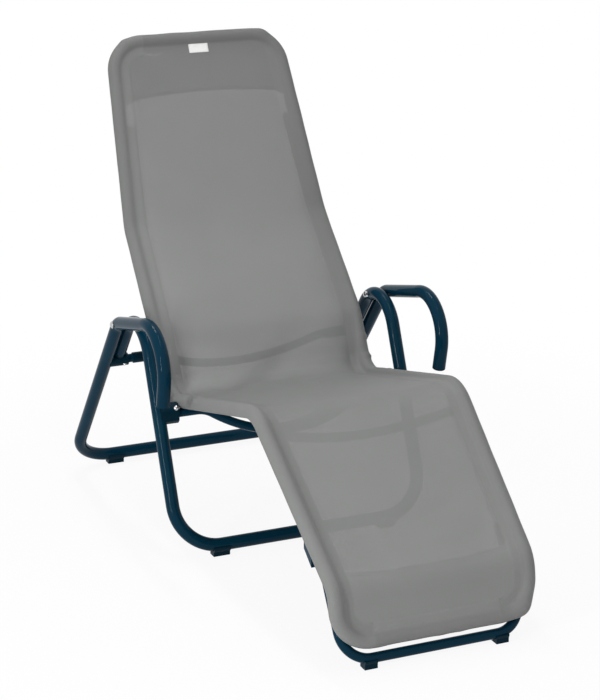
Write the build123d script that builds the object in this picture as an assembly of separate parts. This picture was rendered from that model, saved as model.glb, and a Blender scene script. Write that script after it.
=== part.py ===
from build123d import *
import math
import os

# Tilting patio lounger, in millimetres: a fabric sling on a bent tube shell that rocks back
# between two crossed leg frames, with a small fold-away foot frame under its foot end.
# Work axes: X across, Y from the foot end to the head end, Z up from the floor.
# Y = 0 lies over the front floor bar. The written parts are moved so that their origin
# is on the floor under the middle of the whole lounger.

# Tube stock
TUBE_D = 30.0
TUBE_WALL = 1.2
FOOT_TUBE_D = 21.0
CROSSBAR_D = 20.0
THIN_WALL = 1.0

# Clearances
RUNNING_GAP = 0.05
SLIP_GAP = 0.1
MOVING_GAP = 0.4
SIDE_GAP = 0.5

# Floor pads
PAD_DROP = 8.15
PAD_WALL = 3.0
PAD_SOLE_WIDTH = 22.0
REAR_PAD_INSET = 106.0
REAR_PAD_LENGTH = 40.0
FRONT_PAD_INSET = 96.5
FRONT_PAD_LENGTH = 39.0
FOOT_PAD_INSET = 53.0
FOOT_PAD_LENGTH = 28.0

# Front frame: floor bar, leaning legs, arched tops and hook arms that run down again
FRONT_HALF_WIDTH = 301.5
FRONT_LEG_LEAN = 22.7
FRONT_FLOOR_BEND = 100.0
HOOK_SETBACK = 10.0

# Rear frame: floor bar, leaning legs, armrests and their turned-down front ends
FRAME_SPACING = 2.5
REAR_FLOOR_Y = 656.0
REAR_LEG_LEAN = 39.35
REAR_FLOOR_BEND = 100.0
ARMREST_CORNER_Z = 475.5
ARMREST_BEND = 50.0
ARMREST_RISE = 14.0
ARMREST_LENGTH = 338.7
ARMREST_FRONT_BEND = 92.0
TAIL_LEAN = 12.3
TAIL_LENGTH = 193.0

# Fold bolts and their fittings
FOLD_BOLT_D = 8.0
FOLD_HEAD_D = 17.0
FOLD_HEAD_HEIGHT = 4.5
FOLD_NUT_D = 14.0
FOLD_NUT_HEIGHT = 5.0
SPACER_D = 22.0

# Depth to which a part that is shaped to a round tube reaches past the tube's side
SADDLE_DEPTH = 7.5

# Rear crossbar: stop for the hook arms and for the tilting shell
REAR_BAR_Z = 357.0
REAR_BAR_STUB_INSET = 108.0
REAR_BAR_BOW = 72.0
REAR_BAR_BEND = 60.0
SLEEVE_D = 30.0
SLEEVE_INNER_INSET = 19.5
SLEEVE_OUTER_INSET = 8.0
BUFFER_D = 25.0
BUFFER_LENGTH = 40.0
BUFFER_OUTWARD = 21.0
SLEEVE_SCREW_D = 4.0
SLEEVE_SCREW_HEAD_D = 8.0
SLEEVE_SCREW_HEAD_HEIGHT = 3.0
SLEEVE_SCREW_INSET = 9.5

# Plugs and caps in open tube ends
PLUG_HEAD = 4.0
PLUG_DEPTH = 14.0
CAP_RIM = 2.0
CAP_CROWN = 3.5
NUT_CROWN = 2.5
FOOT_PLUG_HEAD = 2.5

# Shell side line: its corner points, each by its inset from the front legs' line, Y and Z
TOE_INSET = 90.5
TOE_Y = -646.5
TOE_Z = 57.5
ANKLE_INSET = 88.5
ANKLE_Y = -628.0
ANKLE_Z = 164.3
KNEE_INSET = 70.5
KNEE_Y = -278.0
KNEE_Z = 426.3
HIP_INSET = 57.5
HIP_Y = 194.6
HIP_Z = 308.8
LUMBAR_INSET = 54.5
LUMBAR_Y = 268.0
LUMBAR_Z = 441.0
SHOULDER_INSET = 63.0
SHOULDER_Y = 457.0
SHOULDER_Z = 646.0
CROWN_INSET = 93.5
CROWN_Y = 651.0
CROWN_Z = 1046.0
FOOT_CORNER_BEND = 70.0
ANKLE_BEND = 60.0
KNEE_BEND = 88.0
HIP_BEND = 75.0
LUMBAR_BEND = 150.0
SHOULDER_BEND = 120.0
TOP_CORNER_BEND = 75.0
SPLIT_Y = -60.0
JOINER_LENGTH = 160.0

# Seat crossbar and the blocks that carry its ends
PIVOT_Y = 112.0
WELD_SINK = 1.0
SEAT_BAR_STUB_INSET = 32.0
SEAT_BAR_BOW = 75.0
SEAT_BAR_BEND = 55.0
SEAT_BAR_BOW_LEAN = 41.8
SEAT_BAR_END_INSET = 19.0
BLOCK_WIDTH = 42.0
BLOCK_DEPTH = 40.0
BLOCK_ABOVE = 24.0
BLOCK_BELOW = 21.0
BLOCK_CHAMFER = 8.0
BLOCK_END_WALL = 3.0
BUSH_WALL = 3.0
BLOCK_BOLT_D = 6.0
BLOCK_BOLT_HEAD_D = 12.0
BLOCK_BOLT_HEAD_HEIGHT = 4.0
BLOCK_BOLT_INSET = 34.5
BLOCK_BOLT_LENGTH = 34.0

# Knee crossbar
KNEE_BAR_Y = -330.0
KNEE_BAR_DROP = 4.4
KNEE_BAR_STUB_INSET = 35.0
KNEE_BAR_BOW = 38.0
KNEE_BAR_BEND = 55.0

# Foot frame and its hinges
FOOT_FRAME_INSET = 13.0
FOOT_FLOOR_Y = -647.0
FOOT_FLOOR_BEND = 60.0
FOOT_HINGE_DROP = 26.0
FOOT_ARM_LEAN = 31.1
FOOT_ARM_PAST_HINGE = 6.5
BRACKET_LENGTH = 46.0
BRACKET_THICKNESS = 15.0
BRACKET_EDGE = 7.5
BRACKET_SHIFT = 9.5
BRACKET_ROOT_SHIFT = 26.0
HINGE_PIN_D = 8.0
HINGE_PIN_HEAD_D = 14.0
HINGE_PIN_HEAD_HEIGHT = 2.5
HINGE_PIN_DEPTH = 11.0

# Sling
CLOTH = 1.2
CLOTH_LIFT = 7.0
POCKET_GAP = 0.3
NOTCH_GAP = 0.5

# Blank label sewn near the top of the back
LABEL_WIDTH = 49.0
LABEL_HEIGHT = 21.5
LABEL_THICKNESS = 0.6
LABEL_X = 3.0
LABEL_BELOW_TOP = 26.0

# Sizes and places that follow from the ones above
bar_z = PAD_DROP + TUBE_D / 2
foot_bar_z = PAD_DROP + FOOT_TUBE_D / 2
rear_half_width = FRONT_HALF_WIDTH + TUBE_D + FRAME_SPACING
shell_toe = Vector(FRONT_HALF_WIDTH - TOE_INSET, TOE_Y, TOE_Z)
shell_ankle = Vector(FRONT_HALF_WIDTH - ANKLE_INSET, ANKLE_Y, ANKLE_Z)
shell_knee = Vector(FRONT_HALF_WIDTH - KNEE_INSET, KNEE_Y, KNEE_Z)
shell_hip = Vector(FRONT_HALF_WIDTH - HIP_INSET, HIP_Y, HIP_Z)
shell_lumbar = Vector(FRONT_HALF_WIDTH - LUMBAR_INSET, LUMBAR_Y, LUMBAR_Z)
shell_shoulder = Vector(FRONT_HALF_WIDTH - SHOULDER_INSET, SHOULDER_Y, SHOULDER_Z)
shell_crown = Vector(FRONT_HALF_WIDTH - CROWN_INSET, CROWN_Y, CROWN_Z)
foot_half_width = shell_ankle.X - FOOT_FRAME_INSET
buffer_outer_x = shell_lumbar.X + BUFFER_OUTWARD
block_inner_x = FRONT_HALF_WIDTH - BLOCK_WIDTH
seat_bar_end_x = FRONT_HALF_WIDTH - SEAT_BAR_END_INSET
front_slope = math.tan(math.radians(FRONT_LEG_LEAN))
rear_slope = math.tan(math.radians(REAR_LEG_LEAN))
rear_reach = REAR_FLOOR_Y + TUBE_D / 2 + PAD_WALL
pocket_d = TUBE_D + 2 * POCKET_GAP
sleeve_cloth_d = pocket_d + 2 * CLOTH
front_reach = shell_toe.Y - sleeve_cloth_d / 2
origin_y = (rear_reach + front_reach) / 2


def unit(angle):
    """Side view direction at an angle above +Y."""
    return Vector(0, math.cos(math.radians(angle)), math.sin(math.radians(angle)))


def at_x(x, point):
    """Side view point moved to a place across the lounger."""
    return Vector(x, point.Y, point.Z)


def on_front_leg(z):
    """Centre of the front leg at a height."""
    return Vector(0, front_slope * (z - bar_z), z)


def on_rear_leg(z):
    """Centre of the rear leg at a height."""
    return Vector(0, REAR_FLOOR_Y - rear_slope * (z - bar_z), z)


def between(start, end, y):
    """Point at one Y on a straight run of the shell side line."""
    return start + (end - start) * ((y - start.Y) / (end.Y - start.Y))


def bend_middle(before, corner, after, radius):
    """Middle of the arc that rounds a corner of a tube."""
    one_way = (before - corner).normalized()
    other_way = (after - corner).normalized()
    half_angle = math.radians(one_way.get_angle(other_way) / 2)
    return corner + (one_way + other_way).normalized() * (radius / math.sin(half_angle) - radius)


def radius_through(corner, one_way, other_way, point):
    """Radius of the bend at a corner whose arc passes through a point."""
    stretch = 1 / math.sin(math.radians(one_way.get_angle(other_way) / 2))
    offset = corner - point
    lean = stretch * (one_way + other_way).normalized().dot(offset)
    spread = stretch**2 - 1
    return (-lean + math.sqrt(lean**2 - spread * offset.dot(offset))) / spread


# Side view lines of the two leg frames
up_front_leg = unit(90 - FRONT_LEG_LEAN)
down_rear_leg = unit(REAR_LEG_LEAN - 90)
behind_rear_leg = unit(REAR_LEG_LEAN)
armrest_forward = unit(180 - ARMREST_RISE)
armrest_corner = on_rear_leg(ARMREST_CORNER_Z)
armrest_front = armrest_corner + armrest_forward * ARMREST_LENGTH
tail_end = armrest_front + unit(TAIL_LEAN - 90) * TAIL_LENGTH
fold_pivot = bend_middle(armrest_front, armrest_corner, on_rear_leg(bar_z), ARMREST_BEND)
arch_corner = on_front_leg(bar_z + (REAR_FLOOR_Y + HOOK_SETBACK) / (front_slope + rear_slope))
arch_bend = radius_through(arch_corner, -up_front_leg, down_rear_leg, fold_pivot)
rear_bar = on_rear_leg(REAR_BAR_Z)
hook_axis_point = rear_bar + behind_rear_leg * (HOOK_SETBACK * math.cos(math.radians(REAR_LEG_LEAN)))
hook_face = SLEEVE_D / 2 + MOVING_GAP
hook_end = hook_axis_point - down_rear_leg * (hook_face + PLUG_HEAD)

# Side view lines of the shell
leg_run = (shell_knee - shell_ankle).normalized()
leg_angle = math.degrees(math.atan2(leg_run.Z, leg_run.Y))
seat_run = (shell_hip - shell_knee).normalized()
seat_angle = math.degrees(math.atan2(seat_run.Z, seat_run.Y))
split = between(shell_knee, shell_hip, SPLIT_Y)
tube_over_pivot = between(shell_knee, shell_hip, PIVOT_Y)
tube_underside = TUBE_D / 2 / math.cos(math.radians(seat_angle))
pivot = Vector(0, PIVOT_Y, tube_over_pivot.Z - tube_underside - CROSSBAR_D / 2 + WELD_SINK)
knee_bar = between(shell_ankle, shell_knee, KNEE_BAR_Y)
below_leg = unit(leg_angle - 90)

# Foot frame: its arms rise from the floor bar to a hinge line just below the shell tubes
foot_floor = Vector(0, FOOT_FLOOR_Y, foot_bar_z)
up_foot_arm = unit(90 - FOOT_ARM_LEAN)
floor_drop = (foot_floor - at_x(0, shell_ankle)).dot(below_leg)
foot_hinge = foot_floor + up_foot_arm * ((FOOT_HINGE_DROP - floor_drop) / up_foot_arm.dot(below_leg))
foot_arm_end = foot_hinge + up_foot_arm * FOOT_ARM_PAST_HINGE
bracket_centre = foot_hinge + unit(leg_angle) * BRACKET_SHIFT
bracket_root = bracket_centre - below_leg * FOOT_HINGE_DROP + unit(leg_angle) * BRACKET_ROOT_SHIFT


def u_path(points, radii):
    """Tube line from a right-hand end, rounded at each corner, across to its mirror image."""
    mirrored = [Vector(-p.X, p.Y, p.Z) for p in reversed(points)]
    return FilletPolyline(*points, *mirrored, radius=[*radii, *reversed(radii)])


def bowed_path(end_x, stub_x, bow, bend, seat, direction):
    """Crossbar line: straight stubs at both ends and one long arc that bows out between them."""
    turn = 2 * math.atan(bow / stub_x)

    def on_line(x, depth):
        return seat + Vector(x, 0, 0) + direction * depth

    def on_bend(angle):
        return stub_x - bend * math.sin(angle), bend * (1 - math.cos(angle))

    half_x, half_depth = on_bend(turn / 2)
    full_x, full_depth = on_bend(turn)
    return Wire([
        Line(on_line(end_x, 0), on_line(stub_x, 0)),
        ThreePointArc(on_line(stub_x, 0), on_line(half_x, half_depth), on_line(full_x, full_depth)),
        ThreePointArc(on_line(full_x, full_depth), on_line(0, bow), on_line(-full_x, full_depth)),
        ThreePointArc(on_line(-full_x, full_depth), on_line(-half_x, half_depth), on_line(-stub_x, 0)),
        Line(on_line(-stub_x, 0), on_line(-end_x, 0)),
    ])


def rod(path, diameter):
    """Solid round bar along a line."""
    return sweep(Plane(origin=path @ 0, z_dir=path % 0) * Circle(diameter / 2), path=path)


def tube(path, diameter, wall):
    """Hollow round tube along a line."""
    section = Circle(diameter / 2) - Circle(diameter / 2 - wall)
    return sweep(Plane(origin=path @ 0, z_dir=path % 0) * section, path=path)


def cylinder(start, direction, diameter, length):
    """Round bar from a point along a direction."""
    return extrude(Plane(origin=start, z_dir=direction) * Circle(diameter / 2), amount=length)


def across(x, point, diameter, length):
    """Round bar along +X that starts at a place across the lounger."""
    return cylinder(at_x(x, point), Vector(1, 0, 0), diameter, length)


def dome(start, direction, diameter, height):
    """Low domed fastener head with its flat side at a point."""
    radius = (diameter**2 / 4 + height**2) / (2 * height)
    cap = Plane(origin=start, z_dir=direction) * Pos(0, 0, height - radius) * Sphere(radius)
    return cap & cylinder(start, direction, diameter, height)


def left(shape):
    """Mirror image on the other side."""
    return mirror(shape, about=Plane.YZ)


front_path = u_path(
    [at_x(FRONT_HALF_WIDTH, hook_end), at_x(FRONT_HALF_WIDTH, arch_corner),
     at_x(FRONT_HALF_WIDTH, on_front_leg(bar_z))],
    [arch_bend, FRONT_FLOOR_BEND])
rear_path = u_path(
    [at_x(rear_half_width, tail_end), at_x(rear_half_width, armrest_front),
     at_x(rear_half_width, armrest_corner), at_x(rear_half_width, on_rear_leg(bar_z))],
    [ARMREST_FRONT_BEND, ARMREST_BEND, REAR_FLOOR_BEND])
foot_path = u_path(
    [at_x(foot_half_width, foot_arm_end), at_x(foot_half_width, foot_floor)], [FOOT_FLOOR_BEND])
back_path = u_path(
    [split, shell_hip, shell_lumbar, shell_shoulder, shell_crown],
    [HIP_BEND, LUMBAR_BEND, SHOULDER_BEND, TOP_CORNER_BEND])
leg_path = u_path(
    [split, shell_knee, shell_ankle, shell_toe], [KNEE_BEND, ANKLE_BEND, FOOT_CORNER_BEND])
rear_bar_path = bowed_path(
    rear_half_width - SADDLE_DEPTH, rear_half_width - REAR_BAR_STUB_INSET, REAR_BAR_BOW, REAR_BAR_BEND,
    rear_bar, down_rear_leg)
seat_bar_path = bowed_path(
    seat_bar_end_x, shell_hip.X - SEAT_BAR_STUB_INSET, SEAT_BAR_BOW, SEAT_BAR_BEND, pivot,
    unit(-90 - SEAT_BAR_BOW_LEAN))
knee_bar_path = bowed_path(
    knee_bar.X, shell_knee.X - KNEE_BAR_STUB_INSET, KNEE_BAR_BOW, KNEE_BAR_BEND,
    at_x(0, knee_bar) + below_leg * KNEE_BAR_DROP, below_leg)

front_rod = rod(front_path, TUBE_D)
rear_rod = rod(rear_path, TUBE_D)
back_rod = rod(back_path, TUBE_D)
leg_rod = rod(leg_path, TUBE_D)
foot_rod = rod(foot_path, FOOT_TUBE_D)


def front_frame():
    """Floor bar, legs, arches and hook arms in one bent tube, drilled for the fold bolts."""
    drill = across(-rear_half_width, fold_pivot, FOLD_BOLT_D + 2 * RUNNING_GAP, 2 * rear_half_width)
    return tube(front_path, TUBE_D, TUBE_WALL) - drill


def rear_frame():
    """Floor bar, legs, armrests and tails in one bent tube, drilled for the fold bolts."""
    drill_length = 2 * (rear_half_width + TUBE_D)
    drill = across(-drill_length / 2, fold_pivot, FOLD_BOLT_D + 2 * RUNNING_GAP, drill_length)
    return tube(rear_path, TUBE_D, TUBE_WALL) - drill


def fold_bolt():
    """Domed bolt from the outside of the armrest bend to the inside of the arch."""
    seat_x = rear_half_width + TUBE_D / 2 + MOVING_GAP
    nut_x = FRONT_HALF_WIDTH - TUBE_D / 2 - FOLD_NUT_HEIGHT / 2
    shank = across(nut_x, fold_pivot, FOLD_BOLT_D, seat_x - nut_x)
    return shank + dome(at_x(seat_x, fold_pivot), Vector(1, 0, 0), FOLD_HEAD_D, FOLD_HEAD_HEIGHT)


def fold_nut():
    """Domed cap nut shaped to the inside of the arch tube."""
    base_x = FRONT_HALF_WIDTH - TUBE_D / 2
    body = across(base_x - FOLD_NUT_HEIGHT, fold_pivot, FOLD_NUT_D, FOLD_NUT_HEIGHT + SADDLE_DEPTH)
    cap = dome(at_x(base_x - FOLD_NUT_HEIGHT, fold_pivot), Vector(-1, 0, 0), FOLD_NUT_D, NUT_CROWN)
    bore = across(base_x - FOLD_NUT_HEIGHT / 2 - RUNNING_GAP, fold_pivot,
                  FOLD_BOLT_D + 2 * RUNNING_GAP, TUBE_D)
    return body + cap - bore - front_rod


def fold_spacer():
    """Washer that keeps the arch and the rear frame apart, shaped to the arch tube."""
    outer_x = rear_half_width - TUBE_D / 2 - MOVING_GAP
    washer = across(FRONT_HALF_WIDTH, fold_pivot, SPACER_D, outer_x - FRONT_HALF_WIDTH)
    bore = across(FRONT_HALF_WIDTH, fold_pivot, FOLD_BOLT_D + 2 * RUNNING_GAP, TUBE_D)
    return washer - bore - front_rod


def rear_crossbar():
    """Bowed bar between the rear legs, its ends shaped to them."""
    return tube(rear_bar_path, CROSSBAR_D, THIN_WALL) - rear_rod


def bar_sleeve(inner_x, outer_x, diameter):
    """Moulded sleeve on a straight end of the rear crossbar."""
    bore = CROSSBAR_D + 2 * RUNNING_GAP
    section = Circle(diameter / 2) - Circle(bore / 2)
    start = Plane(origin=at_x(inner_x, rear_bar), z_dir=(1, 0, 0))
    return extrude(start * section, amount=outer_x - inner_x)


def end_sleeve():
    """Seat for the hook arm, butted against the rear leg, with a hole for its screw."""
    inner_x = FRONT_HALF_WIDTH - SLEEVE_INNER_INSET
    sleeve = bar_sleeve(inner_x, rear_half_width - SLEEVE_OUTER_INSET, SLEEVE_D)
    hole_d = SLEEVE_SCREW_D + 2 * RUNNING_GAP
    start = at_x(FRONT_HALF_WIDTH - SLEEVE_SCREW_INSET, rear_bar)
    hole = cylinder(start, -behind_rear_leg, hole_d, SLEEVE_D)
    return sleeve - rear_rod - hole


def sleeve_screw():
    """Screw that pins the end sleeve to the crossbar on its front side."""
    head_at = at_x(FRONT_HALF_WIDTH - SLEEVE_SCREW_INSET, rear_bar) - behind_rear_leg * (SLEEVE_D / 2)
    tip_gap = CROSSBAR_D / 2 + RUNNING_GAP
    shank = cylinder(head_at, behind_rear_leg, SLEEVE_SCREW_D, SLEEVE_D / 2 - tip_gap)
    return shank + dome(head_at, -behind_rear_leg, SLEEVE_SCREW_HEAD_D, SLEEVE_SCREW_HEAD_HEIGHT)


def tube_plug(end, outward, head, diameter, wall, depth):
    """Round plug in an open tube end: a flush head and a spigot inside the tube."""
    spigot_d = diameter - 2 * (wall + SLIP_GAP)
    return cylinder(end, outward, diameter, head) + cylinder(end, -outward, spigot_d, depth)


def hook_plug():
    """Plug in the hook arm's end with a lip that catches behind the crossbar sleeve."""
    end = at_x(FRONT_HALF_WIDTH, hook_end)
    plug = tube_plug(end, down_rear_leg, PLUG_HEAD + hook_face, TUBE_D, TUBE_WALL, PLUG_DEPTH)
    slot = Plane(origin=at_x(FRONT_HALF_WIDTH, rear_bar) - down_rear_leg * hook_face,
                 x_dir=(1, 0, 0), z_dir=down_rear_leg)
    room = TUBE_D + hook_face
    toward_back = slot.y_dir.dot(behind_rear_leg)
    cut = slot * Pos(0, toward_back * (hook_face - room / 2), room / 2) * Box(room, room, room)
    return plug - cut


def armrest_cap():
    """Rounded plug in the open end below the front of the armrest."""
    end = at_x(rear_half_width, tail_end)
    outward = unit(TAIL_LEAN - 90)
    plug = tube_plug(end, outward, CAP_RIM, TUBE_D, TUBE_WALL, PLUG_DEPTH)
    return plug + dome(end + outward * CAP_RIM, outward, TUBE_D, CAP_CROWN)


def floor_pad(bar, diameter, middle, length):
    """Moulded shoe clipped under a floor bar and shaped to it."""
    jacket = cylinder(middle - Vector(length / 2, 0, 0), Vector(1, 0, 0), diameter + 2 * PAD_WALL, length)
    sole_top = Plane(origin=(middle.X, middle.Y, 0))
    sole = extrude(sole_top * Rectangle(length, PAD_SOLE_WIDTH), amount=middle.Z)
    floor_trim = Pos(middle.X, middle.Y, middle.Z - diameter) * Box(length, 2 * diameter, 2 * diameter)
    above_floor = Pos(middle.X, middle.Y, diameter) * Box(length, 2 * diameter, 2 * diameter)
    clip = jacket & floor_trim
    return (clip + sole - bar) & above_floor


def shell_side(path):
    """One bent tube of the shell."""
    return tube(path, TUBE_D, TUBE_WALL)


def frame_joiner():
    """Hidden spigot that joins the two shell tubes inside the seat."""
    start = split - seat_run * (JOINER_LENGTH / 2)
    outer_r = TUBE_D / 2 - TUBE_WALL - SLIP_GAP
    section = Circle(outer_r) - Circle(outer_r - TUBE_WALL)
    return extrude(Plane(origin=start, z_dir=seat_run) * section, amount=JOINER_LENGTH)


def seat_crossbar():
    """Bowed bar under the seat; its ends turn in the pivot blocks and it carries the shell."""
    return tube(seat_bar_path, CROSSBAR_D, THIN_WALL) - back_rod


def knee_crossbar():
    """Bowed bar under the knee end of the leg rest, its ends shaped to the side tubes."""
    return tube(knee_bar_path, CROSSBAR_D, THIN_WALL) - leg_rod


def pivot_block():
    """Block on the inside of a front leg that carries the end of the seat crossbar."""
    middle_y = on_front_leg(pivot.Z).Y
    height = BLOCK_ABOVE + BLOCK_BELOW
    middle_z = pivot.Z + (BLOCK_ABOVE - BLOCK_BELOW) / 2
    block = Pos(block_inner_x + BLOCK_WIDTH / 2, middle_y, middle_z) * Box(BLOCK_WIDTH, BLOCK_DEPTH, height)
    lengthwise = block.edges().filter_by(Axis.X).sort_by(Axis.Z)
    block = fillet(lengthwise[-2:], BLOCK_DEPTH / 2 - SIDE_GAP)
    block = chamfer(block.edges().filter_by(Axis.X).sort_by(Axis.Z)[:2], BLOCK_CHAMFER)
    bush_d = CROSSBAR_D + 2 * (RUNNING_GAP + BUSH_WALL)
    bore = across(block_inner_x - BLOCK_END_WALL, pivot, bush_d,
                  seat_bar_end_x + SIDE_GAP - block_inner_x + BLOCK_END_WALL)
    return block - bore - front_rod - block_bolt_hole()


def block_bolt_seat():
    """Place of the bolt head on the front face of the pivot block."""
    front_y = on_front_leg(pivot.Z).Y - BLOCK_DEPTH / 2
    above_bush = CROSSBAR_D / 2 + RUNNING_GAP + BUSH_WALL
    height = pivot.Z + above_bush + BLOCK_BOLT_D / 2 + SIDE_GAP
    return Vector(FRONT_HALF_WIDTH - BLOCK_BOLT_INSET, front_y, height)


def block_bolt_hole():
    """Hole through the pivot block above the crossbar end."""
    start = block_bolt_seat() - Vector(0, BLOCK_DEPTH, 0)
    return cylinder(start, Vector(0, 1, 0), BLOCK_BOLT_D + 2 * RUNNING_GAP, 3 * BLOCK_DEPTH)


def block_bolt():
    """Domed bolt that clamps the pivot block over its bush."""
    seat = block_bolt_seat()
    shank = cylinder(seat, Vector(0, 1, 0), BLOCK_BOLT_D, BLOCK_BOLT_LENGTH)
    return shank + dome(seat, Vector(0, -1, 0), BLOCK_BOLT_HEAD_D, BLOCK_BOLT_HEAD_HEIGHT)


def pivot_bush():
    """Plastic bush between the seat crossbar end and the pivot block."""
    bore_r = CROSSBAR_D / 2 + RUNNING_GAP
    section = Circle(bore_r + BUSH_WALL - RUNNING_GAP) - Circle(bore_r)
    start = at_x(block_inner_x, pivot)
    return extrude(Plane(origin=start, z_dir=(1, 0, 0)) * section, amount=seat_bar_end_x - block_inner_x)


def bracket_outline(grow):
    """Side outline of the foot hinge bracket, from the tube line down past the hinge."""
    half = unit(leg_angle) * (BRACKET_LENGTH / 2 + grow)
    lower = bracket_centre + below_leg * (BRACKET_EDGE + grow)
    points = [bracket_root + half, lower + half, lower - half, bracket_root - half]
    return make_face(Polyline(*points, close=True))


def foot_bracket(thickness, grow):
    """Hinge bracket under a side tube; grow widens it to cut its notch in the cloth."""
    inner_x = foot_half_width + FOOT_TUBE_D / 2 + SIDE_GAP - grow
    face = Pos(inner_x, 0, 0) * bracket_outline(grow)
    return extrude(face, amount=thickness + 2 * grow, dir=(1, 0, 0))


def drilled_bracket():
    """Hinge bracket seated on its tube and drilled for the hinge pin."""
    inner_x = foot_half_width + FOOT_TUBE_D / 2 + SIDE_GAP
    hole = across(inner_x - SIDE_GAP, foot_hinge, HINGE_PIN_D + 2 * RUNNING_GAP, HINGE_PIN_DEPTH)
    return foot_bracket(BRACKET_THICKNESS, 0) - leg_rod - hole


def foot_frame():
    """Floor bar and two arms of the foot frame, drilled for its hinge pins."""
    drill = across(-foot_half_width - TUBE_D, foot_hinge, HINGE_PIN_D + 2 * RUNNING_GAP,
                   2 * (foot_half_width + TUBE_D))
    return tube(foot_path, FOOT_TUBE_D, THIN_WALL) - drill


def foot_arm_plug():
    """Plug in the top of a foot frame arm, held by the hinge pin that passes through it."""
    plug = tube_plug(at_x(foot_half_width, foot_arm_end), up_foot_arm, FOOT_PLUG_HEAD,
                     FOOT_TUBE_D, THIN_WALL, PLUG_DEPTH)
    return plug - across(0, foot_hinge, HINGE_PIN_D + 2 * RUNNING_GAP, 2 * foot_half_width)


def hinge_pin():
    """Rivet through the foot frame arm into the hinge bracket."""
    head_x = foot_half_width - FOOT_TUBE_D / 2 - MOVING_GAP
    shank_end = foot_half_width + FOOT_TUBE_D / 2 + HINGE_PIN_DEPTH - SIDE_GAP
    shank = across(head_x, foot_hinge, HINGE_PIN_D, shank_end - head_x)
    return shank + dome(at_x(head_x, foot_hinge), Vector(-1, 0, 0), HINGE_PIN_HEAD_D, HINGE_PIN_HEAD_HEIGHT)


def corner_waste(corner, lateral, lengthwise, radius):
    """Piece of a rectangle outside its rounded corner, as a thick block."""
    centre = corner - (lateral + lengthwise) * radius
    frame = Plane(origin=centre, x_dir=lateral, z_dir=lateral.cross(lengthwise))
    block = frame * Pos(radius, radius, 0) * Box(2 * radius, 2 * radius, 2 * radius)
    return block - frame * Cylinder(radius, 3 * radius)


def sling_panel():
    """Cloth stretched between the side tubes, lying on the sitter's side of their line."""
    corners = [shell_toe, shell_ankle, shell_knee, shell_hip, shell_lumbar, shell_shoulder, shell_crown]
    side_line = FilletPolyline(
        *[at_x(0, p) for p in corners],
        radius=[ANKLE_BEND, KNEE_BEND, HIP_BEND, LUMBAR_BEND, SHOULDER_BEND])
    start = Plane(origin=side_line @ 0, x_dir=(1, 0, 0), z_dir=side_line % 0)
    sheet = sweep(start * Pos(0, -CLOTH_LIFT) * Rectangle(2 * rear_half_width, CLOTH), path=side_line)
    ends = [Vector(shell_toe.X, shell_toe.Y - TUBE_D, 0), Vector(shell_crown.X, shell_crown.Y + TUBE_D, 0)]
    right = [ends[0], *[Vector(p.X, p.Y, 0) for p in corners], ends[1]]
    plan = make_face(Polyline(*right, *[Vector(-p.X, p.Y, 0) for p in reversed(right)], close=True))
    return sheet & extrude(plan, amount=shell_crown.Z + TUBE_D)


def sling():
    """Sling cloth: a stretched panel and the pocket around the whole shell tube."""
    pocket = rod(back_path, sleeve_cloth_d) + rod(leg_path, sleeve_cloth_d)
    panel = sling_panel()
    head_run = (at_x(0, shell_crown) - at_x(0, shell_shoulder)).normalized()
    foot_run = (at_x(0, shell_toe) - at_x(0, shell_ankle)).normalized()
    for corner, run, radius in ((shell_crown, head_run, TOP_CORNER_BEND),
                                (shell_toe, foot_run, FOOT_CORNER_BEND)):
        waste = corner_waste(corner, Vector(1, 0, 0), run, radius)
        panel = panel - waste - left(waste)
    cloth = panel + pocket - rod(back_path, pocket_d) - rod(leg_path, pocket_d)
    bar_notch_d = CROSSBAR_D + 2 * NOTCH_GAP
    notches = [
        rod(seat_bar_path, bar_notch_d),
        rod(knee_bar_path, bar_notch_d),
        foot_bracket(BRACKET_THICKNESS, NOTCH_GAP),
        left(foot_bracket(BRACKET_THICKNESS, NOTCH_GAP)),
    ]
    for notch in notches:
        cloth = cloth - notch
    return cloth


def label():
    """Blank label on the sitter's side of the back."""
    up_back = (at_x(0, shell_crown) - at_x(0, shell_shoulder)).normalized()
    front_of_back = Vector(1, 0, 0).cross(up_back)
    lift = CLOTH_LIFT + CLOTH / 2
    middle = at_x(LABEL_X, shell_crown) - up_back * LABEL_BELOW_TOP + front_of_back * lift
    face = Plane(origin=middle, x_dir=(1, 0, 0), z_dir=front_of_back) * Rectangle(LABEL_WIDTH, LABEL_HEIGHT)
    return extrude(face, amount=LABEL_THICKNESS)


def write(name, shape):
    """Write one piece, moved so that the origin is under the middle of the lounger."""
    export_step(Pos(0, -origin_y, 0) * shape, f"parts/{name}.step")


def write_pair(name, shape):
    """Write a right-hand piece and its mirror image as two pieces."""
    write(f"{name}_right", shape)
    write(f"{name}_left", left(shape))


def write_together(name, shape):
    """Write a right-hand fastener and its mirror image as one piece."""
    write(name, Compound([shape, left(shape)]))


os.makedirs("parts", exist_ok=True)

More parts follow.
